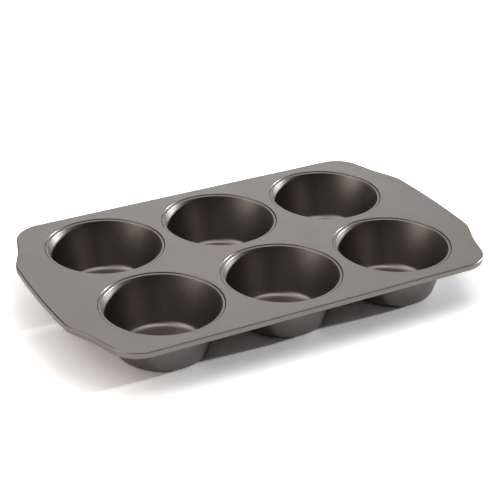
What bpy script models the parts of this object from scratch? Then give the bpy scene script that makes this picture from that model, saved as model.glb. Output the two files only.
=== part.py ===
"""Jumbo muffin pan: one pressed deck and six drawn cups whose lips are set into it.

Metres, +Z up. The origin is on the surface that the pan stands on, under the middle of the cup grid.
X runs along the pan from one handle tab to the other, and the front row of cups is at -Y.
"""
import math

import bmesh
import bpy
from mathutils import Vector

# Height from the cups' undersides to the deck's top
PAN_HEIGHT = 0.0420

# Sheet steel of the two kinds of piece
DECK_SHEET = 0.0006
CUP_SHEET = 0.0006

# Cup grid: the row and column names give the cups their names
COLUMN_NAMES = ("left", "middle", "right")
ROW_NAMES = ("front", "back")

# Flat land of the deck: between two seats, beside the outer seats, and at the tabs
CUP_LAND = 0.0067
SIDE_LAND = 0.0103
END_LAND = 0.0307

# Cup: a flat lip that is sunk below the deck's top, a tapered wall that begins at the neck, a flat floor.
# A bend is given by the radius inside it, so that the sheet can always follow it.
NECK_RADIUS = 0.0471
LIP_DROP = 0.0007
LIP_INNER_BEND = 0.0004
LIP_CROWN = 0.0010
LIP_EDGE_TURN = math.radians(30)
FLOOR_RADIUS = 0.0316
FLOOR_CORNER = 0.0060

# Clearance kept wherever a cup meets the deck
FIT_GAP = 0.0003

# Deck: the seat pressed round each hole, and the rim that is turned down and hemmed
SEAT_INNER_BEND = 0.0001
SEAT_FOOT_BEND = 0.0002
RIM_HEIGHT = 0.0055
RIM_INNER_BEND = 0.0006
HEM_INNER_BEND = 0.0004
HEM_LEG = 0.0015

# Deck outline: a bowed tab end, a shoulder, a waist drawn in beside it, and a round corner.
# Setbacks are measured from the tab's end, the waist from the long side, the shoulder from the waist.
END_BOW = 0.0016
SHOULDER_TO_WAIST = 0.0242
SHOULDER_ROUND = 0.0240
WAIST_TO_SIDE = 0.0367
WAIST_SETBACK = 0.0136
WAIST_ROUND = 0.0630
CORNER_SETBACK = 0.0252
CORNER_ROUND = 0.0270

# Facets of round parts
CUP_SEGMENTS = 28
OUTLINE_SAG = 0.00015
BEND_STEPS = 2

# Finish of the baked-on release coating
COATING_COLOUR = (0.262, 0.248, 0.230, 1.0)
COATING_ROUGHNESS = 0.42
COATING_METALLIC = 0.35


def remove_old_objects():
    for old in list(bpy.data.objects):
        bpy.data.objects.remove(old, do_unlink=True)


def new_collection(name):
    collection = bpy.data.collections.new(name)
    bpy.context.scene.collection.children.link(collection)
    return collection


def coating(name):
    material = bpy.data.materials.new(name)
    material.use_nodes = True
    shader = material.node_tree.nodes["Principled BSDF"]
    shader.inputs["Base Color"].default_value = COATING_COLOUR
    shader.inputs["Roughness"].default_value = COATING_ROUGHNESS
    shader.inputs["Metallic"].default_value = COATING_METALLIC
    material.diffuse_color = COATING_COLOUR
    return material


def arc(centre, radius, start, end, steps):
    """Points on an arc in a plane, both ends included; angles in radians."""
    points = []
    for step in range(steps + 1):
        angle = start + (end - start) * step / steps
        points.append(Vector((centre[0] + radius * math.cos(angle), centre[1] + radius * math.sin(angle))))
    return points


def turned_solid(name, profile, segments):
    """A closed solid of revolution about Z from a profile that starts and ends on the axis."""
    mesh = bpy.data.meshes.new(name)
    edges = [(index, index + 1) for index in range(len(profile) - 1)]
    mesh.from_pydata([(point.x, 0.0, point.y) for point in profile], edges, [])
    turned = bpy.data.objects.new(name, mesh)
    screw = turned.modifiers.new("turn", "SCREW")
    screw.axis = "Z"
    screw.angle = math.tau
    screw.steps = segments
    screw.render_steps = segments
    screw.use_merge_vertices = True
    screw.merge_threshold = 0.00001
    screw.use_smooth_shade = True
    return turned


def lip_bend():
    """Radius of the lip's visible roundings."""
    return LIP_INNER_BEND + CUP_SHEET


def lip_centres():
    """Centres of the lip's inner and outer rounding, between which its crown is flat."""
    inner = Vector((NECK_RADIUS + lip_bend(), -LIP_DROP - lip_bend()))
    return inner, inner + Vector((LIP_CROWN, 0.0))


def lip_edge():
    """The lip's outer edge: where its visible surface ends and where its underside ends."""
    direction = Vector((math.sin(LIP_EDGE_TURN), math.cos(LIP_EDGE_TURN)))
    centre = lip_centres()[1]
    return centre + direction * lip_bend(), centre + direction * LIP_INNER_BEND


def seat_depth():
    """How far the seat's top lies below the deck's top, so that the lip's underside clears it."""
    return FIT_GAP - lip_edge()[1].y


def seat_radius():
    """Radius of the riser that surrounds the lip."""
    return lip_edge()[0].x + FIT_GAP


def seat_edge_bend():
    """Radius of the deck's visible rounding at the top of the riser."""
    return SEAT_INNER_BEND + DECK_SHEET


def seat_outer_radius():
    """Radius at which the deck's flat top ends and the seat's rounding begins."""
    return seat_radius() + seat_edge_bend()


def hole_radius():
    """Radius of the deck's hole, which the top of the cup's wall passes through."""
    return NECK_RADIUS + CUP_SHEET + FIT_GAP


def cup_pitch():
    return 2 * seat_outer_radius() + CUP_LAND


def grid_reach(count):
    """From the middle of the grid to the outer side of its last seat, for a line of so many cups."""
    return (count - 1) / 2 * cup_pitch() + seat_outer_radius()


def cup_surface(depth):
    """Section of a cup's surface at a depth into its sheet, 0 on the visible side.

    It runs from the lip's outer edge over its flat crown and down the wall to the middle of the floor.
    The deck's top is at height 0.
    """
    inner_centre, outer_centre = lip_centres()
    corner_centre = Vector((FLOOR_RADIUS, CUP_SHEET + FLOOR_CORNER - PAN_HEIGHT))
    # The wall touches the lip's rounding on one side and the floor's corner on the other
    between = corner_centre - inner_centre
    lean = math.acos((lip_bend() + FLOOR_CORNER) / between.length)
    wall_turn = math.atan2(between.y, between.x) + math.tau - lean

    lip_radius = lip_bend() - depth
    lip_start = math.pi / 2 - LIP_EDGE_TURN
    path = arc(outer_centre, lip_radius, lip_start, math.pi / 2, BEND_STEPS)
    path += arc(inner_centre, lip_radius, math.pi / 2, wall_turn, BEND_STEPS)
    path += arc(corner_centre, FLOOR_CORNER + depth, wall_turn - math.pi, -math.pi / 2, BEND_STEPS)
    path.append(Vector((0.0, CUP_SHEET - depth - PAN_HEIGHT)))
    return path


def make_cup(name, place):
    profile = list(reversed(cup_surface(0.0))) + cup_surface(CUP_SHEET)
    cup = turned_solid(name, profile, CUP_SEGMENTS)
    cup.location = (place.x, place.y, PAN_HEIGHT)
    return cup


def cup_places():
    """Name and centre of each cup, the grid centred on the origin."""
    places = []
    for row, row_name in enumerate(ROW_NAMES):
        for column, column_name in enumerate(COLUMN_NAMES):
            x = (column - (len(COLUMN_NAMES) - 1) / 2) * cup_pitch()
            y = (row - (len(ROW_NAMES) - 1) / 2) * cup_pitch()
            places.append(("cup_" + row_name + "_" + column_name, Vector((x, y))))
    return places


def outline_corners():
    """Corners of a quarter of the deck's outline, each with the radius that rounds it."""
    end = grid_reach(len(COLUMN_NAMES)) + END_LAND
    side = grid_reach(len(ROW_NAMES)) + SIDE_LAND
    waist_y = side - WAIST_TO_SIDE
    shoulder_y = waist_y - SHOULDER_TO_WAIST
    # The bow ends a quarter of the shoulder's radius before the shoulder, where its rounding can begin
    lead = SHOULDER_ROUND / 4
    bow_radius = ((shoulder_y - lead) ** 2 + END_BOW ** 2) / (2 * END_BOW)
    bow_turn = math.asin((shoulder_y - lead) / bow_radius)
    apex_x = end + bow_radius * (1 / math.cos(bow_turn) - 1)
    shoulder_x = end - END_BOW - lead * math.tan(bow_turn)
    return [
        (Vector((apex_x, 0.0)), bow_radius),
        (Vector((shoulder_x, shoulder_y)), SHOULDER_ROUND),
        (Vector((end - WAIST_SETBACK, waist_y)), WAIST_ROUND),
        (Vector((end - CORNER_SETBACK, side)), CORNER_ROUND),
    ]


def full_outline_corners():
    """The quarter's corners mirrored into all four quarters, anticlockwise from the right-hand tab."""
    quarter = outline_corners()
    right_back = quarter[1:]
    left_back = [(Vector((-corner.x, corner.y)), radius) for corner, radius in reversed(quarter)]
    left_front = [(Vector((-corner.x, -corner.y)), radius) for corner, radius in right_back]
    right_front = [(Vector((corner.x, -corner.y)), radius) for corner, radius in reversed(right_back)]
    return [quarter[0]] + right_back + left_back + left_front + right_front


def rounded_outline(corners):
    """Points of a closed outline whose corners are rounded by tangent arcs."""
    points = []
    for index, (corner, radius) in enumerate(corners):
        before = (corners[index - 1][0] - corner).normalized()
        after = (corners[(index + 1) % len(corners)][0] - corner).normalized()
        half_angle = before.angle(after) / 2
        reach = radius / math.tan(half_angle)
        centre = corner + (before + after).normalized() * radius / math.sin(half_angle)
        start = corner + before * reach - centre
        end = corner + after * reach - centre
        first = math.atan2(start.y, start.x)
        turn = math.remainder(math.atan2(end.y, end.x) - first, math.tau)
        facet = 2 * math.acos(1 - OUTLINE_SAG / radius)
        steps = max(2, math.ceil(abs(turn) / facet))
        points += arc(centre, radius, first, first + turn, steps)
    return points


def outline_normals(points):
    """Outward direction at each point of an anticlockwise outline, long enough to keep a mitre even."""
    normals = []
    for index, point in enumerate(points):
        into = (point - points[index - 1]).normalized()
        out = (points[(index + 1) % len(points)] - point).normalized()
        first = Vector((into.y, -into.x))
        middle = (first + Vector((out.y, -out.x))).normalized()
        normals.append(middle / middle.dot(first))
    return normals


def flat_sheet(name, outer, holes):
    """A flat mesh bounded by one outline and some holes, filled as a 2D curve."""
    curve = bpy.data.curves.new(name, "CURVE")
    curve.dimensions = "2D"
    curve.fill_mode = "FRONT"
    for loop in [outer] + holes:
        spline = curve.splines.new("POLY")
        spline.points.add(len(loop) - 1)
        spline.use_cyclic_u = True
        for knot, point in zip(spline.points, loop):
            knot.co = (point.x, point.y, 0.0, 1.0)
    drawn = bpy.data.objects.new(name, curve)
    bpy.context.scene.collection.objects.link(drawn)
    bpy.context.view_layer.update()
    mesh = bpy.data.meshes.new_from_object(drawn.evaluated_get(bpy.context.evaluated_depsgraph_get()))
    bpy.data.objects.remove(drawn, do_unlink=True)
    bpy.data.curves.remove(curve)
    return mesh


def rim_path():
    """The rim's section as (offset from the outline, height), from the flat top to the hem's end."""
    bend = RIM_INNER_BEND + DECK_SHEET
    hem = HEM_INNER_BEND + DECK_SHEET
    hem_height = hem - RIM_HEIGHT
    path = arc((-bend, -bend), bend, math.pi / 2, 0.0, BEND_STEPS)
    path += arc((-hem, hem_height), hem, 0.0, -math.pi, BEND_STEPS * 2)
    path.append(Vector((-2 * hem, hem_height + HEM_LEG)))
    return path


def seat_path():
    """The seat's section as (radius, height), from the flat top to the edge of the hole."""
    edge = seat_edge_bend()
    foot = min(SEAT_FOOT_BEND, (seat_depth() - edge) / 2)
    path = arc((seat_outer_radius(), -edge), edge, math.pi / 2, math.pi, BEND_STEPS)
    path += arc((seat_radius() - foot, foot - seat_depth()), foot, 0.0, -math.pi / 2, 1)
    path.append(Vector((hole_radius(), -seat_depth())))
    return path


def circle(centre, radius):
    return arc(centre, radius, 0.0, math.tau, CUP_SEGMENTS)[:-1]


def nearest_vertex(vertices, point):
    return min(vertices, key=lambda vertex: (vertex.co.xy - point).length_squared)


def draw_edge(sheet, loop, rings):
    """Draws the sheet on from one of its edges through further rings of points.

    loop holds the edge's points in order, and each ring the places that they move on to."""
    boundary = [vertex for vertex in sheet.verts if vertex.is_boundary]
    current = [nearest_vertex(boundary, point) for point in loop]
    count = len(current)
    for ring in rings:
        following = [sheet.verts.new(place) for place in ring]
        for index in range(count):
            after = (index + 1) % count
            sheet.faces.new((current[index], current[after], following[after], following[index]))
        current = following


def make_deck(name):
    outline = rounded_outline(full_outline_corners())
    outward = outline_normals(outline)
    rim = rim_path()
    seat = seat_path()
    centres = [place for _, place in cup_places()]

    flat_edge = [point + normal * rim[0].x for point, normal in zip(outline, outward)]
    seat_edges = [circle(centre, seat[0].x) for centre in centres]
    mesh = flat_sheet(name, flat_edge, seat_edges)

    sheet = bmesh.new()
    sheet.from_mesh(mesh)
    rim_rings = []
    for step in rim[1:]:
        ring = [point + normal * step.x for point, normal in zip(outline, outward)]
        rim_rings.append([Vector((place.x, place.y, step.y)) for place in ring])
    draw_edge(sheet, flat_edge, rim_rings)
    for centre, seat_edge in zip(centres, seat_edges):
        seat_rings = []
        for step in seat[1:]:
            seat_rings.append([Vector((place.x, place.y, step.y)) for place in circle(centre, step.x)])
        draw_edge(sheet, seat_edge, seat_rings)
    bmesh.ops.recalc_face_normals(sheet, faces=sheet.faces)
    top = max(sheet.faces, key=lambda face: face.calc_center_median().z)
    if top.normal.z < 0:
        bmesh.ops.reverse_faces(sheet, faces=sheet.faces)
    sheet.to_mesh(mesh)
    sheet.free()

    deck = bpy.data.objects.new(name, mesh)
    deck.location = (0.0, 0.0, PAN_HEIGHT)
    thickness = deck.modifiers.new("sheet", "SOLIDIFY")
    thickness.thickness = DECK_SHEET
    thickness.offset = -1.0
    thickness.use_even_offset = True
    mesh.shade_smooth()
    mesh.set_sharp_from_angle(angle=math.radians(35))
    return deck


def build():
    remove_old_objects()
    parts = new_collection("jumbo_muffin_pan")
    deck = make_deck("deck")
    deck.data.materials.append(coating("deck_coating"))
    parts.objects.link(deck)
    for name, place in cup_places():
        cup = make_cup(name, place)
        cup.data.materials.append(coating(name + "_coating"))
        parts.objects.link(cup)


build()
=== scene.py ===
# %% [markdown]
# # Jumbo muffin pan
#
# This is a pan of coated sheet steel: one pressed deck with a tab at each end, and six drawn cups. The lip of
# each cup lies in a seat that is pressed round a hole in the deck. The construction model gives the size and
# place of every piece. This script loads it as a fixed frame and dresses each piece in finer sheet metal and
# in its real finish.

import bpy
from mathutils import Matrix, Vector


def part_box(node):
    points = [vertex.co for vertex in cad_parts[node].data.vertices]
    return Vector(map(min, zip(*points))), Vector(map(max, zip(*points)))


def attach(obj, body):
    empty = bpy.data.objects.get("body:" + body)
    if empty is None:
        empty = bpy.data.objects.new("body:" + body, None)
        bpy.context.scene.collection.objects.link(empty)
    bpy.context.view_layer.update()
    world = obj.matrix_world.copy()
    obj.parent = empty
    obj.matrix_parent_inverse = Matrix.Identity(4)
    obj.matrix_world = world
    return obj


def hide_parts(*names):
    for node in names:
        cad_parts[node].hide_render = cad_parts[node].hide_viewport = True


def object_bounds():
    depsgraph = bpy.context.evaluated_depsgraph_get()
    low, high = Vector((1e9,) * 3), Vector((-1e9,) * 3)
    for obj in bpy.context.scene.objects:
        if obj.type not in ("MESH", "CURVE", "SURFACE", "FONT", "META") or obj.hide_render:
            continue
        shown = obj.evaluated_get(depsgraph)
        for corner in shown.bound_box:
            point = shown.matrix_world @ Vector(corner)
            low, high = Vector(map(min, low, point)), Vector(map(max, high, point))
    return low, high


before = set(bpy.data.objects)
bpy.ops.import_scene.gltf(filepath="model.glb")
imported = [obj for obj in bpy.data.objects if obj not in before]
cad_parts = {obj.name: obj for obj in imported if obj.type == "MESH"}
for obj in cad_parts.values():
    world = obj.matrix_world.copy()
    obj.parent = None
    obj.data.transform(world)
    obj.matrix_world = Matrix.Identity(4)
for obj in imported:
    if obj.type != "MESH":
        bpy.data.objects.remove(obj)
cad_low, cad_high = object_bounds()
print("pieces in the frame:", ", ".join(sorted(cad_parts)))

# %% [markdown]
# ## The camera
#
# The pan is seen from its front left corner, from a little above. The camera could be placed by eye, but a
# fitted one lets the render be laid over the photograph. It is given as a photographer would say it: how far
# round the pan, how high, how far away, and with which lens. A long lens keeps the cups' ellipses calm.

# %% Place the camera
import math

import bmesh
import bpy
from mathutils import Matrix, Vector

MM = 0.001
CAMERA_ROUND = math.radians(-29.651)
CAMERA_HEIGHT = math.radians(27.957)
CAMERA_ROLL = math.radians(1.176)
CAMERA_DISTANCE = 1209.0 * MM
CAMERA_LENS = 103.67
SENSOR_WIDTH = 36.0
# The middle of the mouths lies a little left of the picture's centre, and above it
MOUTHS_BELOW_DECK = 0.23 * MM
MOUTHS_RIGHT = -0.7 * MM
MOUTHS_UP = 4.4 * MM

mouths_middle = Vector((0.0, 0.0, cad_high.z - MOUTHS_BELOW_DECK))


def place_camera():
    level_right = Vector((math.cos(CAMERA_ROUND), math.sin(CAMERA_ROUND), 0.0))
    back = Vector((
        math.sin(CAMERA_ROUND) * math.cos(CAMERA_HEIGHT),
        -math.cos(CAMERA_ROUND) * math.cos(CAMERA_HEIGHT),
        math.sin(CAMERA_HEIGHT)))
    level_up = back.cross(level_right)
    right = math.cos(CAMERA_ROLL) * level_right + math.sin(CAMERA_ROLL) * level_up
    up = back.cross(right)
    place = mouths_middle - right * MOUTHS_RIGHT - up * MOUTHS_UP + back * CAMERA_DISTANCE
    camera = bpy.data.objects.new("camera", bpy.data.cameras.new("camera"))
    camera.data.sensor_width = SENSOR_WIDTH
    camera.data.lens = CAMERA_LENS
    camera.matrix_world = Matrix.Translation(place) @ Matrix((right, up, back)).transposed().to_4x4()
    bpy.context.scene.collection.objects.link(camera)
    bpy.context.scene.camera = camera
    return camera


camera = place_camera()
print("camera at", [round(value, 3) for value in camera.location])

# %% [markdown]
# ## The section of a cup
#
# A press draws each cup from a flat disc, so its sheet is equally thick all over and every corner is a bend.
# The section could be traced by hand, but the tool that pressed it has only arcs and straight tapers, so the
# line is worked out from those: a flat lip, a tapered wall that touches the lip's rounding and the floor's
# corner, and the flat floor. The lip lies a little lower than the deck, so the deck hides its edge on the
# near side of each cup and shows its step on the far side.

# %% Draw the cup's section
SHEET = 0.6 * MM
NECK_RADIUS = 47.1 * MM
LIP_BEND = 1.0 * MM
LIP_CROWN = 1.0 * MM
LIP_EDGE_TURN = math.radians(30)
FLOOR_RADIUS = 31.6 * MM
FLOOR_CORNER = 6.0 * MM
FINE_TURN = math.radians(9)

cup_nodes = [name for name in sorted(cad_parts) if name.startswith("cup_")]
cup_low, cup_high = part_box(cup_nodes[0])
cup_height = cup_high.z - cup_low.z


def arc(centre, radius, start, end):
    """Points along an arc, with no turn between them greater than the fine turn."""
    steps = max(2, math.ceil(abs(end - start) / FINE_TURN))
    points = []
    for step in range(steps + 1):
        angle = start + (end - start) * step / steps
        points.append(Vector((centre[0] + radius * math.cos(angle), centre[1] + radius * math.sin(angle))))
    return points


def cup_section():
    """The cup's inner side from the middle of the floor to the lip's edge, as (radius, height)."""
    top = math.pi / 2
    crown_centre = Vector((NECK_RADIUS + LIP_BEND, -LIP_BEND))
    edge_centre = crown_centre + Vector((LIP_CROWN, 0.0))
    corner_centre = Vector((FLOOR_RADIUS, SHEET + FLOOR_CORNER - cup_height))
    # The wall touches the lip's rounding on one side and the floor's corner on the other
    between = corner_centre - crown_centre
    lean = math.acos((LIP_BEND + FLOOR_CORNER) / between.length)
    wall_turn = math.atan2(between.y, between.x) + math.tau - lean

    section = arc(edge_centre, LIP_BEND, top - LIP_EDGE_TURN, top)
    section += arc(crown_centre, LIP_BEND, top, wall_turn)
    section += arc(corner_centre, FLOOR_CORNER, wall_turn - math.pi, -top)
    section.append(Vector((0.0, SHEET - cup_height)))
    section.reverse()
    return section


section = cup_section()
print("cup section:", len(section), "points, lip radius", round(section[-1].x / MM, 2), "mm")

# %% [markdown]
# ## Turn the cup
#
# A cup is round, so the section is turned about the cup's axis with a Screw modifier. The section is the
# side that touches the batter, and Solidify gives it the sheet's thickness on the far side, as the press
# leaves it. Weighted normals keep the flat floor flat in the light although its neighbours are bent.

# %% Make the six cups
CUP_STEPS = 160
WELD = 0.01 * MM
# How much large flat faces outweigh small bent ones in the normals, and 100 is the most Blender takes
FLAT_WEIGHT = 100


def add_sheet_thickness(piece):
    """Gives an open surface the thickness of the steel, and normals that keep its flat parts flat."""
    thickness = piece.modifiers.new("sheet", "SOLIDIFY")
    thickness.thickness = SHEET
    thickness.offset = -1.0
    thickness.use_even_offset = True
    flats = piece.modifiers.new("flats", "WEIGHTED_NORMAL")
    flats.weight = FLAT_WEIGHT
    flats.keep_sharp = True


def make_cup(node):
    low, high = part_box(node)
    mesh = bpy.data.meshes.new("shell_" + node)
    edges = [(index, index + 1) for index in range(len(section) - 1)]
    mesh.from_pydata([(point.x, 0.0, point.y) for point in section], edges, [])
    cup = bpy.data.objects.new("shell_" + node, mesh)
    cup.location = ((low.x + high.x) / 2, (low.y + high.y) / 2, high.z)
    bpy.context.scene.collection.objects.link(cup)
    turning = cup.modifiers.new("turn", "SCREW")
    turning.steps = CUP_STEPS
    turning.render_steps = CUP_STEPS
    turning.use_merge_vertices = True
    turning.merge_threshold = WELD
    turning.use_smooth_shade = True
    add_sheet_thickness(cup)
    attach(cup, "root")
    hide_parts(node)
    return cup


cups = [make_cup(name) for name in cup_nodes]
print("cups:", ", ".join(cup.name for cup in cups))

# %% [markdown]
# ## The outline of the deck
#
# The deck is blanked by a die whose edge is all straight runs and round corners. So the outline is given by
# a few corners, each with its rounding: a long shallow bow across each tab, a shoulder, a waist that leads
# the tab into the side, and the pan's own corner. One quarter is drawn and mirrored into the other three.

# %% Draw the deck's outline
END_BOW = 1.6 * MM
SHOULDER_TO_WAIST = 24.2 * MM
SHOULDER_ROUND = 24.0 * MM
WAIST_TO_SIDE = 36.7 * MM
WAIST_SETBACK = 13.6 * MM
WAIST_ROUND = 63.0 * MM
CORNER_SETBACK = 25.2 * MM
CORNER_ROUND = 27.0 * MM
LONGEST_STEP = 1.5 * MM


def quarter_corners():
    """Corners of a quarter of the outline and their rounding, from the tab's middle to the long side."""
    end = cad_high.x
    side = cad_high.y
    waist_y = side - WAIST_TO_SIDE
    shoulder_y = waist_y - SHOULDER_TO_WAIST
    # The bow ends a quarter of the shoulder's radius before the shoulder, where its rounding can begin
    lead = SHOULDER_ROUND / 4
    bow_radius = ((shoulder_y - lead) ** 2 + END_BOW ** 2) / (2 * END_BOW)
    bow_turn = math.asin((shoulder_y - lead) / bow_radius)
    apex_x = end + bow_radius * (1 / math.cos(bow_turn) - 1)
    shoulder_x = end - END_BOW - lead * math.tan(bow_turn)
    return [
        (Vector((apex_x, 0.0)), bow_radius),
        (Vector((shoulder_x, shoulder_y)), SHOULDER_ROUND),
        (Vector((end - WAIST_SETBACK, waist_y)), WAIST_ROUND),
        (Vector((end - CORNER_SETBACK, side)), CORNER_ROUND),
    ]


def all_corners():
    """The quarter mirrored into all four, anticlockwise from the right-hand tab."""
    quarter = quarter_corners()
    mirrored = []
    for x_sign, y_sign in ((1, 1), (-1, 1), (-1, -1), (1, -1)):
        turned = [(Vector((corner.x * x_sign, corner.y * y_sign)), radius) for corner, radius in quarter]
        if x_sign * y_sign < 0:
            turned.reverse()
        mirrored += turned
    # The middle of each tab lies on the mirror line and so comes twice in a row
    return [pair for index, pair in enumerate(mirrored) if (pair[0] - mirrored[index - 1][0]).length > WELD]


def round_corners(corners):
    """Points of the closed outline, each corner rounded by an arc that is tangent to both its sides."""
    points = []
    for index, (corner, radius) in enumerate(corners):
        before = (corners[index - 1][0] - corner).normalized()
        after = (corners[(index + 1) % len(corners)][0] - corner).normalized()
        half_angle = before.angle(after) / 2
        reach = radius / math.tan(half_angle)
        centre = corner + (before + after).normalized() * radius / math.sin(half_angle)
        start = corner + before * reach - centre
        end = corner + after * reach - centre
        first = math.atan2(start.y, start.x)
        turn = math.remainder(math.atan2(end.y, end.x) - first, math.tau)
        points += arc_by_length(centre, radius, first, turn)
    return points


def arc_by_length(centre, radius, first, turn):
    """Points along an arc, with no step longer than the longest one."""
    steps = max(2, math.ceil(abs(turn) * radius / LONGEST_STEP))
    points = []
    for step in range(steps + 1):
        angle = first + turn * step / steps
        points.append(Vector((centre.x + radius * math.cos(angle), centre.y + radius * math.sin(angle))))
    return points


outline = round_corners(all_corners())
print("deck outline:", len(outline), "points")

# %% [markdown]
# ## Press the deck
#
# The flat of the deck is a 2D curve with six holes in it, which Blender fills. Its edges are then drawn on
# ring by ring, as the press does: the outer edge turns down into the rim and curls under into a hem, and
# each hole's edge dips into a shallow seat for the lip. Extruding one loop at a time keeps every bend round.
# Solidify gives the sheet its thickness, as it did for the cups.

# %% Sections of the rim and of the seat
RIM_HEIGHT = 5.5 * MM
RIM_BEND = 1.2 * MM
HEM_BEND = 1.0 * MM
HEM_LEG = 1.5 * MM
SEAT_RADIUS = 49.9 * MM
SEAT_EDGE_BEND = 0.7 * MM
SEAT_FOOT_BEND = 0.2 * MM
SEAT_DEPTH = 1.65 * MM
HOLE_RADIUS = 48.0 * MM
SEAT_STEPS = 160


def rim_section():
    """The rim as (distance out from the outline, height), from the flat top to the hem's end."""
    hem_height = HEM_BEND - RIM_HEIGHT
    path = arc((-RIM_BEND, -RIM_BEND), RIM_BEND, math.pi / 2, 0.0)
    path += arc((-HEM_BEND, hem_height), HEM_BEND, 0.0, -math.pi)
    path.append(Vector((-2 * HEM_BEND, hem_height + HEM_LEG)))
    return path


def seat_section():
    """The seat as (radius, height), from the flat top to the edge of the hole."""
    edge_centre = (SEAT_RADIUS + SEAT_EDGE_BEND, -SEAT_EDGE_BEND)
    foot_centre = (SEAT_RADIUS - SEAT_FOOT_BEND, SEAT_FOOT_BEND - SEAT_DEPTH)
    path = arc(edge_centre, SEAT_EDGE_BEND, math.pi / 2, math.pi)
    path += arc(foot_centre, SEAT_FOOT_BEND, 0.0, -math.pi / 2)
    path.append(Vector((HOLE_RADIUS, -SEAT_DEPTH)))
    return path


print("rim section:", len(rim_section()), "points, seat section:", len(seat_section()), "points")

# %% Fill the flat of the deck


def circle(centre, radius):
    turns = [math.tau * step / SEAT_STEPS for step in range(SEAT_STEPS)]
    return [centre + radius * Vector((math.cos(turn), math.sin(turn))) for turn in turns]


def outward_ways(points):
    """The way out at each point of an anticlockwise outline."""
    ways = []
    for index, point in enumerate(points):
        along = points[(index + 1) % len(points)] - points[index - 1]
        ways.append(Vector((along.y, -along.x)).normalized())
    return ways


def fill_flat(name, loops):
    """A flat mesh inside the first loop and outside the others, filled by a 2D curve."""
    curve = bpy.data.curves.new(name, "CURVE")
    curve.dimensions = "2D"
    curve.fill_mode = "FRONT"
    for loop in loops:
        spline = curve.splines.new("POLY")
        spline.points.add(len(loop) - 1)
        spline.use_cyclic_u = True
        for knot, point in zip(spline.points, loop):
            knot.co = (point.x, point.y, 0.0, 1.0)
    drawn = bpy.data.objects.new(name, curve)
    bpy.context.scene.collection.objects.link(drawn)
    bpy.context.view_layer.update()
    mesh = bpy.data.meshes.new_from_object(drawn.evaluated_get(bpy.context.evaluated_depsgraph_get()))
    bpy.data.objects.remove(drawn)
    bpy.data.curves.remove(curve)
    return mesh


# %% Draw the edges down


def draw_edge(sheet, loop, rings):
    """Draws the sheet on from one of its edges through further rings of points."""
    boundary = [vertex for vertex in sheet.verts if vertex.is_boundary]
    ring_now = [min(boundary, key=lambda vertex: (vertex.co.xy - point).length_squared) for point in loop]
    for ring in rings:
        ring_next = [sheet.verts.new(place) for place in ring]
        for index in range(len(loop)):
            after = (index + 1) % len(loop)
            sheet.faces.new((ring_now[index], ring_now[after], ring_next[after], ring_next[index]))
        ring_now = ring_next


def make_deck():
    rim = rim_section()
    seat = seat_section()
    ways = outward_ways(outline)
    centres = [cup.location.xy for cup in cups]
    flat_edge = [point + way * rim[0].x for point, way in zip(outline, ways)]
    seat_edges = [circle(centre, seat[0].x) for centre in centres]
    mesh = fill_flat("pressed_deck", [flat_edge] + seat_edges)

    sheet = bmesh.new()
    sheet.from_mesh(mesh)
    rim_rings = []
    for step in rim[1:]:
        ring = [point + way * step.x for point, way in zip(outline, ways)]
        rim_rings.append([place.to_3d() + Vector((0.0, 0.0, step.y)) for place in ring])
    draw_edge(sheet, flat_edge, rim_rings)
    for centre, seat_edge in zip(centres, seat_edges):
        seat_rings = []
        for step in seat[1:]:
            ring = circle(centre, step.x)
            seat_rings.append([place.to_3d() + Vector((0.0, 0.0, step.y)) for place in ring])
        draw_edge(sheet, seat_edge, seat_rings)
    bmesh.ops.recalc_face_normals(sheet, faces=sheet.faces)
    highest = max(sheet.faces, key=lambda face: face.calc_center_median().z)
    if highest.normal.z < 0:
        bmesh.ops.reverse_faces(sheet, faces=sheet.faces)
    sheet.to_mesh(mesh)
    sheet.free()
    mesh.shade_smooth()
    return mesh


deck = bpy.data.objects.new("pressed_deck", make_deck())
deck.location = (0.0, 0.0, cad_high.z)
bpy.context.scene.collection.objects.link(deck)
add_sheet_thickness(deck)
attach(deck, "root")
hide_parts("deck")
print("deck sheet:", len(deck.data.polygons), "faces before it gets its thickness")

# %% [markdown]
# ## Helpers for the finishes
#
# Colours are written as sRGB hex values, the way a colour card gives them, and one function turns them into
# the linear values that Blender's nodes take. A second function adds a node with its settings and links, so
# that each finish below reads as a short recipe.

# %% Colour and node helpers


def linear(hex_colour):
    """Linear RGBA of an sRGB hex colour."""
    # The sRGB curve is straight near black and a power above that
    values = []
    for start in (1, 3, 5):
        channel = int(hex_colour[start:start + 2], 16) / 255
        values.append(channel / 12.92 if channel <= 0.04045 else ((channel + 0.055) / 1.055) ** 2.4)
    return (*values, 1.0)


def add(tree, kind, inputs=None, **settings):
    """Adds a node. Each input, by name or number, is a plain value or the output of another node."""
    made = tree.nodes.new(kind)
    for name, value in settings.items():
        setattr(made, name, value)
    for socket, value in (inputs or {}).items():
        if isinstance(value, bpy.types.NodeSocket):
            tree.links.new(value, made.inputs[socket])
        else:
            made.inputs[socket].default_value = value
    return made


def new_material(name):
    material = bpy.data.materials.new(name)
    material.use_nodes = True
    material.node_tree.nodes.clear()
    return material, material.node_tree


print("a middle grey in linear light:", [round(value, 3) for value in linear("#808080")[:3]])

# %% [markdown]
# ## Satin release coating on rolled steel
#
# The deck is cold-rolled sheet, and the whole pan is sprayed with a baked-on release coating that carries a
# metallic pigment. Up close such a coat has a fine orange peel where the droplets ran together, a speckle of
# pigment, and soft clouds where the spray lay thicker. To the eye it is a warm grey with a broad, soft
# sheen. It could be a clear coat over paint, but the pigment lies in the coat itself, so one mostly metallic
# layer with a medium roughness is closer. The droplets are about 0.3 mm across, too fine for the picture,
# and are drawn at 0.9 mm.

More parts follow.
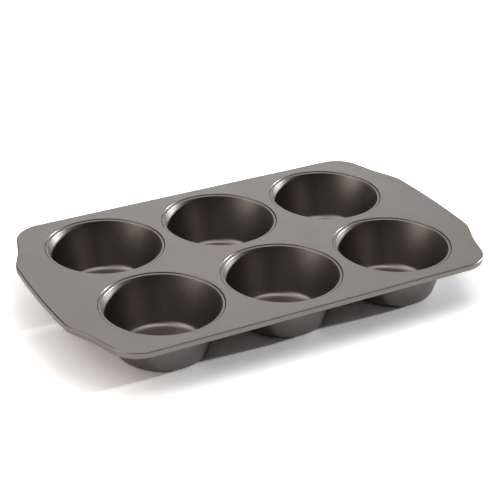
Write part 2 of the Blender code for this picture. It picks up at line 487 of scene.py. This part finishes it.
# %% Mix the coating
COAT_COLOUR = "#8c8884"
COAT_CLOUD_COLOUR = "#86827e"
COAT_METALLIC = 0.95
COAT_ROUGHNESS = 0.36
COAT_ROUGHNESS_SPREAD = 0.03
CLOUD_SIZE = 35.0 * MM
PEEL_SIZE = 0.9 * MM
SPECK_SIZE = 0.5 * MM
SPECK_CONTRAST = 0.06
PEEL_HEIGHT = 0.004 * MM


def spray_coat(tree, place):
    """The sprayed coat's clouded colour, its roughness and its orange peel, from the place on the piece."""
    cloud = add(tree, "ShaderNodeTexNoise", {"Vector": place, "Scale": 1 / CLOUD_SIZE, "Detail": 3.0})
    speck = add(tree, "ShaderNodeTexNoise", {"Vector": place, "Scale": 1 / SPECK_SIZE, "Detail": 1.0})
    peel = add(tree, "ShaderNodeTexNoise", {"Vector": place, "Scale": 1 / PEEL_SIZE, "Detail": 2.0})
    # Sockets 6 and 7 of a colour Mix are its two colours, and output 2 is the mixed one
    clouded = add(tree, "ShaderNodeMix", {
        0: cloud.outputs["Fac"], 6: linear(COAT_COLOUR), 7: linear(COAT_CLOUD_COLOUR)}, data_type="RGBA")
    speckled = add(tree, "ShaderNodeMapRange", {
        "Value": speck.outputs["Fac"], "To Min": 1.0 - SPECK_CONTRAST, "To Max": 1.0 + SPECK_CONTRAST})
    colour = add(tree, "ShaderNodeVectorMath", {
        0: clouded.outputs[2], "Scale": speckled.outputs["Result"]}, operation="SCALE")
    roughness = add(tree, "ShaderNodeMapRange", {
        "Value": cloud.outputs["Fac"],
        "To Min": COAT_ROUGHNESS - COAT_ROUGHNESS_SPREAD,
        "To Max": COAT_ROUGHNESS + COAT_ROUGHNESS_SPREAD})
    return colour.outputs["Vector"], roughness.outputs["Result"], peel.outputs["Fac"]


def coating_on_rolled_steel():
    material, tree = new_material("satin_release_coating_on_rolled_steel")
    place = add(tree, "ShaderNodeTexCoord").outputs["Object"]
    colour, roughness, peel = spray_coat(tree, place)
    relief = add(tree, "ShaderNodeBump", {"Height": peel, "Strength": 1.0, "Distance": PEEL_HEIGHT})
    shader = add(tree, "ShaderNodeBsdfPrincipled", {
        "Base Color": colour, "Roughness": roughness, "Metallic": COAT_METALLIC,
        "Normal": relief.outputs["Normal"]})
    add(tree, "ShaderNodeOutputMaterial", {"Surface": shader.outputs["BSDF"]})
    return material


deck.data.materials.append(coating_on_rolled_steel())
print("deck finish:", deck.data.materials[0].name)

# %% [markdown]
# ## The same coating on a drawn cup
#
# Drawing stretches the wall from top to bottom and leaves faint upright streaks, which the coat follows.
# They run down the wall, so they are a noise that changes quickly round the cup and hardly at all down it.
# The way round is taken from the unit circle and not from an angle, so that no seam shows where the angle
# starts again. Real streaks are about 0.4 mm wide, and they are drawn at 1.2 mm so that they show.

# %% Coat the cups
STREAK_WIDTH = 1.2 * MM
STREAK_LENGTH = 60.0 * MM
STREAK_HEIGHT = 0.006 * MM
STREAK_ROUGHNESS = 0.03
# The cups take their streaks from places up to this far apart in the noise, so that no two match
STREAK_SHIFT = 100.0


def draw_streaks(tree, place):
    """Noise that runs down the wall of a cup whose axis is the object's own."""
    flat = add(tree, "ShaderNodeVectorMath", {0: place, 1: (1.0, 1.0, 0.0)}, operation="MULTIPLY")
    way = add(tree, "ShaderNodeVectorMath", {0: flat.outputs["Vector"]}, operation="NORMALIZE")
    round_scale = NECK_RADIUS / STREAK_WIDTH
    around = add(tree, "ShaderNodeVectorMath", {
        0: way.outputs["Vector"], "Scale": round_scale}, operation="SCALE")
    down = add(tree, "ShaderNodeVectorMath", {
        0: place, 1: (0.0, 0.0, 1 / STREAK_LENGTH)}, operation="MULTIPLY")
    where = add(tree, "ShaderNodeVectorMath", {
        0: around.outputs["Vector"], 1: down.outputs["Vector"]}, operation="ADD")
    which_cup = add(tree, "ShaderNodeObjectInfo").outputs["Random"]
    shift = add(tree, "ShaderNodeMath", {0: which_cup, 1: STREAK_SHIFT}, operation="MULTIPLY")
    streaks = add(tree, "ShaderNodeTexNoise", {
        "Vector": where.outputs["Vector"], "W": shift.outputs["Value"], "Scale": 1.0, "Detail": 2.0},
        noise_dimensions="4D")
    return streaks.outputs["Fac"]


def coating_on_drawn_steel():
    material, tree = new_material("satin_release_coating_on_drawn_steel")
    place = add(tree, "ShaderNodeTexCoord").outputs["Object"]
    colour, roughness, peel = spray_coat(tree, place)
    streaks = draw_streaks(tree, place)
    streaked = add(tree, "ShaderNodeMapRange", {
        "Value": streaks, "To Min": -STREAK_ROUGHNESS, "To Max": STREAK_ROUGHNESS})
    drawn_roughness = add(tree, "ShaderNodeMath", {0: roughness, 1: streaked.outputs["Result"]})
    peel_relief = add(tree, "ShaderNodeBump", {"Height": peel, "Strength": 1.0, "Distance": PEEL_HEIGHT})
    relief = add(tree, "ShaderNodeBump", {
        "Height": streaks, "Strength": 1.0, "Distance": STREAK_HEIGHT,
        "Normal": peel_relief.outputs["Normal"]})
    shader = add(tree, "ShaderNodeBsdfPrincipled", {
        "Base Color": colour, "Roughness": drawn_roughness.outputs["Value"], "Metallic": COAT_METALLIC,
        "Normal": relief.outputs["Normal"]})
    add(tree, "ShaderNodeOutputMaterial", {"Surface": shader.outputs["BSDF"]})
    return material


cup_finish = coating_on_drawn_steel()
for cup in cups:
    cup.data.materials.append(cup_finish)
print("cup finish:", cup_finish.name)

# %% [markdown]
# ## Floor
#
# The pan stands on plain white card, which runs on under and behind it. Card is a matt surface, so a rough
# shader with no sheen is enough. More light would make it pure white but would bleach the pan too. Instead
# its colour is lifted for the rays that only look at it: straight from the camera, and less in the metal,
# where white is as far as it needs to go. A ray that has scattered off the card and then meets the metal
# finds it unlifted, so that the shadow under the pan stays dark. The card still throws light at the level
# of real card.

# %% Lay the floor
CARD_COLOUR = "#f0f2f6"
CARD_LIFT = 2.15
CARD_LIFT_IN_METAL = 1.42
CARD_FIBRE_SIZE = 1.5 * MM
CARD_FIBRE_HEIGHT = 0.02 * MM
CARD_RELIEF = 0.3
FLOOR_SIZE = 12.0
FLOOR_GAP = 0.02 * MM


def white_card():
    material, tree = new_material("matt_white_card")
    place = add(tree, "ShaderNodeTexCoord").outputs["Object"]
    fibre = add(tree, "ShaderNodeTexNoise", {"Vector": place, "Scale": 1 / CARD_FIBRE_SIZE, "Detail": 2.0})
    relief = add(tree, "ShaderNodeBump", {
        "Height": fibre.outputs["Fac"], "Strength": CARD_RELIEF, "Distance": CARD_FIBRE_HEIGHT})
    path = add(tree, "ShaderNodeLightPath")
    reflected = add(tree, "ShaderNodeMath", {
        0: path.outputs["Is Glossy Ray"], 1: path.outputs["Is Transmission Ray"]}, operation="MAXIMUM")
    # Diffuse Depth counts how often the ray has scattered off something matt, and under a half means never
    unscattered = add(tree, "ShaderNodeMath", {
        0: path.outputs["Diffuse Depth"], 1: 0.5}, operation="LESS_THAN")
    in_metal = add(tree, "ShaderNodeMath", {
        0: reflected.outputs["Value"], 1: unscattered.outputs["Value"]}, operation="MULTIPLY")
    lift_in_metal = add(tree, "ShaderNodeMath", {
        0: in_metal.outputs["Value"], 1: CARD_LIFT_IN_METAL - 1.0, 2: 1.0}, operation="MULTIPLY_ADD")
    lift = add(tree, "ShaderNodeMath", {
        0: path.outputs["Is Camera Ray"], 1: CARD_LIFT - 1.0, 2: lift_in_metal.outputs["Value"]},
        operation="MULTIPLY_ADD")
    colour = add(tree, "ShaderNodeVectorMath", {
        0: linear(CARD_COLOUR)[:3], "Scale": lift.outputs["Value"]}, operation="SCALE")
    surface = add(tree, "ShaderNodeBsdfDiffuse", {
        "Color": colour.outputs["Vector"], "Normal": relief.outputs["Normal"]})
    add(tree, "ShaderNodeOutputMaterial", {"Surface": surface.outputs["BSDF"]})
    return material


def lay_floor():
    card = bmesh.new()
    bmesh.ops.create_grid(card, x_segments=1, y_segments=1, size=FLOOR_SIZE / 2)
    mesh = bpy.data.meshes.new("white_card")
    card.to_mesh(mesh)
    card.free()
    floor = bpy.data.objects.new("white_card", mesh)
    floor.location.z = cad_low.z - FLOOR_GAP
    floor.data.materials.append(white_card())
    bpy.context.scene.collection.objects.link(floor)
    return floor


floor = lay_floor()
print("floor:", FLOOR_SIZE, "m square")

# %% [markdown]
# ## Light
#
# The coating is half a mirror, so what surrounds the pan shapes it as much as the lamp does. It stands among
# four soft panels. The deck mirrors the one behind it. The one low on the left lights the right-hand walls.
# The one high on the left and the one overhead draw the pale bow on the far corner of each floor. The side
# that the photographer stands on is dark, and that keeps the left walls dark. The panels could be boxes hung
# round the pan, but a few smooth spots on the sky have the same effect and no edges.

# %% Surround the pan with soft panels
ROOM_CARD_COLOUR = "#ffffff"
# Each panel: degrees round from +X, degrees up, sharpness, strength and colour
PANEL_BEHIND = (63.0, 23.0, 14.0, 1.5, "#fffefc")
PANEL_LOW_LEFT = (176.0, 12.0, 14.0, 2.5, "#fff3e8")
PANEL_HIGH_LEFT = (171.0, 53.0, 16.0, 2.6, "#fff9f2")
PANEL_OVERHEAD = (-4.0, 78.0, 18.0, 2.9, "#fffaf3")


def sky_way(around, height):
    """The direction of a point of the sky, from degrees anticlockwise from +X and up from the horizon."""
    around = math.radians(around)
    height = math.radians(height)
    return Vector((
        math.cos(around) * math.cos(height),
        math.sin(around) * math.cos(height),
        math.sin(height)))


def soft_panel(tree, way, panel):
    """Light of one panel: its full strength in its middle, falling smoothly away round it."""
    around, height, sharpness, strength, colour = panel
    nearness = add(tree, "ShaderNodeVectorMath", {
        0: way, 1: tuple(sky_way(around, height))}, operation="DOT_PRODUCT")
    apart = add(tree, "ShaderNodeMath", {0: nearness.outputs["Value"], 1: 1.0}, operation="SUBTRACT")
    steepness = add(tree, "ShaderNodeMath", {0: apart.outputs["Value"], 1: sharpness}, operation="MULTIPLY")
    spot = add(tree, "ShaderNodeMath", {0: steepness.outputs["Value"]}, operation="EXPONENT")
    full = tuple(channel * strength for channel in linear(colour)[:3])
    light = add(tree, "ShaderNodeVectorMath", {0: full, "Scale": spot.outputs["Value"]}, operation="SCALE")
    return light.outputs["Vector"]


def make_room():
    world = bpy.data.worlds.new("room_of_soft_panels")
    world.use_nodes = True
    tree = world.node_tree
    tree.nodes.clear()
    way = add(tree, "ShaderNodeTexCoord").outputs["Generated"]
    light = soft_panel(tree, way, PANEL_BEHIND)
    for panel in (PANEL_LOW_LEFT, PANEL_HIGH_LEFT, PANEL_OVERHEAD):
        both = add(tree, "ShaderNodeVectorMath", {0: light, 1: soft_panel(tree, way, panel)})
        light = both.outputs["Vector"]
    # Below the horizon the room is as white as the card, so the card has no visible end
    height = add(tree, "ShaderNodeSeparateXYZ", {"Vector": way}).outputs["Z"]
    below = add(tree, "ShaderNodeMath", {0: height, 1: 0.0}, operation="LESS_THAN")
    all_round = add(tree, "ShaderNodeMix", {
        0: below.outputs["Value"], 6: light, 7: linear(ROOM_CARD_COLOUR)}, data_type="RGBA")
    room = add(tree, "ShaderNodeBackground", {"Color": all_round.outputs[2], "Strength": 1.0})
    add(tree, "ShaderNodeOutputWorld", {"Surface": room.outputs["Background"]})
    bpy.context.scene.world = world


make_room()
print("sky:", bpy.context.scene.world.name)

# %% [markdown]
# ## Low lamp
#
# One white lamp stands far off to the right, a little in front and barely above the card. It lights the inner
# bends of the lips and the upper left wall of each cup, down to about a fifth of the depth. It shines under
# the front edge too, so the shadow has one sharp side along the feet of the cups and runs out long and pale
# to the left. A higher lamp would reach further down into the cups.

# %% Hang the low lamp
LAMP_ROUND = -4.7
LAMP_HEIGHT = 5.4
LAMP_STRENGTH = 4.6
LAMP_SPREAD = 2.5
LAMP_COLOUR = "#ffffff"


def hang_lamp():
    lamp = bpy.data.objects.new("low_lamp", bpy.data.lights.new("low_lamp", "SUN"))
    lamp.data.energy = LAMP_STRENGTH
    lamp.data.angle = math.radians(LAMP_SPREAD)
    lamp.data.color = linear(LAMP_COLOUR)[:3]
    lamp.rotation_euler = sky_way(LAMP_ROUND, LAMP_HEIGHT).to_track_quat("Z", "Y").to_euler()
    bpy.context.scene.collection.objects.link(lamp)
    return lamp


low_lamp = hang_lamp()
print("lamp:", low_lamp.name, "at", LAMP_HEIGHT, "degrees up")

# %% [markdown]
# ## Finish
#
# The render uses the Standard view transform, so colours show as they are written. The
# dressed pan must keep the size of the construction model.

# %% Finish
bpy.context.scene.view_settings.view_transform = "Standard"
